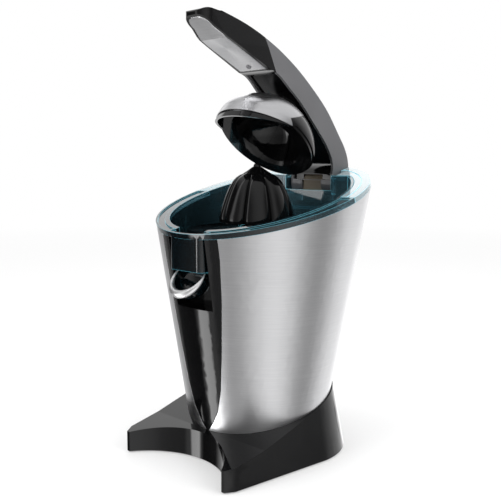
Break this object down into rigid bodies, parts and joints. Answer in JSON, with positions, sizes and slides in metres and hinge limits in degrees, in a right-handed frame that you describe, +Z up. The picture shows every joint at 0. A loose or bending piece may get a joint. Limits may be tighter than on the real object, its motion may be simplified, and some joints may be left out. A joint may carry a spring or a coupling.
{
  "type": "electric citrus press",
  "caption": "Electric citrus press: slanted steel drum on a forked base, ribbed reaming cone in a smoked juice tray, tilting spout, and a hinged lever arm with a domed press cup.",
  "frame": {"origin": "centre of the bounding box on the floor", "axes": "+Z up, -Y to the front, where the spout and the glass are, +X to the machine's left side, seen from its front on the right"},
  "size_m": [0.211, 0.2157, 0.4116],
  "materials": {
    "gloss_black": "moulded, high gloss",
    "dark_gloss": "moulded, smoked, glossy",
    "black_matte": "moulded, fine matt",
    "rubber": "moulded rubber",
    "brushed": "grain brushed around the body",
    "polished": "polished bright",
    "steel": "turned",
    "chrome": "bright plated",
    "silver_plastic": "metallic plastic",
    "smoke_blue": "clear smoked blue",
    "arm_grey": "satin grey",
    "tan": "fine matt",
    "nylon": "moulded, waxy",
    "brass": "sintered"
  },
  "bodies": {
    "body": {"base_shell": "gloss_black", "base_plate": "black_matte", "base_screws": "steel", "rubber_feet": "rubber", "cord_gland": "rubber", "steel_wrap": "brushed", "front_panel": "gloss_black", "top_deck": "silver_plastic", "rear_cap": "silver_plastic", "juice_tray": "smoke_blue", "strainer": "dark_gloss", "idler_axle": "steel", "shaft_seal": "rubber", "microswitch": "black_matte", "chassis": "black_matte", "gearbox_housing": "black_matte", "gearbox_cover": "black_matte", "gearbox_screws": "steel", "lower_bush": "brass", "upper_bush": "brass", "motor_can": "steel", "motor_bell": "black_matte", "motor_screws": "steel", "spout_pin": "steel", "hinge_block": "tan", "hinge_screws": "steel", "hinge_pin": "steel"},
    "arm": {"arm_shell": "arm_grey", "arm_core": "gloss_black", "grip_plate": "brushed", "grip_screw": "steel", "handle": "gloss_black", "dome_cover": "polished", "press_cup": "gloss_black", "dome_hood": "gloss_black", "dome_mount": "black_matte", "dome_screw": "steel"},
    "drive": {"output_gear": "nylon", "drive_clip": "steel", "return_spring": "steel"},
    "press": {"drive_spindle": "steel", "reaming_cone": "gloss_black", "cone_nub": "gloss_black"},
    "idler": {"idler_gear": "nylon"},
    "motor_rotor": {"motor_shaft": "steel"},
    "plunger": {"switch_plunger": "nylon"},
    "spout": {"spout": "dark_gloss", "spout_lip": "chrome"}
  },
  "joints": [
    {"name": "arm_hinge", "type": "hinge", "parent": "body", "child": "arm", "pos_m": [0, 0.0945, 0.2565], "axis": [1, 0, 0], "range_deg": [0, 35]},
    {"name": "drive_spin", "type": "hinge", "parent": "body", "child": "drive", "pos_m": [0, 0.0015, 0.1445], "axis": [0, 0, 1], "continuous": true},
    {"name": "press_travel", "type": "slide", "parent": "drive", "child": "press", "axis": [0, 0, 1], "range_m": [-0.0025, 0], "stiffness_N_per_m": 1500, "springref_m": 0.004, "deforming": ["return_spring"]},
    {"name": "idler_spin", "type": "hinge", "parent": "body", "child": "idler", "pos_m": [-0.03464, 0.0215, 0.135], "axis": [0, 0, 1], "continuous": true},
    {"name": "motor_spin", "type": "hinge", "parent": "body", "child": "motor_rotor", "pos_m": [-0.00164, 0.0215, 0.135], "axis": [0, 0, 1], "continuous": true},
    {"name": "plunger_travel", "type": "slide", "parent": "body", "child": "plunger", "axis": [0, 0, 1], "range_m": [-0.0025, 0]},
    {"name": "spout_tilt", "type": "hinge", "parent": "body", "child": "spout", "pos_m": [0, -0.0695, 0.175], "axis": [1, 0, 0], "range_deg": [0, 25]}
  ],
  "couplings": [
    {"joint": "idler_spin", "follows": "drive_spin", "ratio": -4},
    {"joint": "motor_spin", "follows": "drive_spin", "ratio": 14.857},
    {"joint": "plunger_travel", "follows": "press_travel", "ratio": 1}
  ]
}
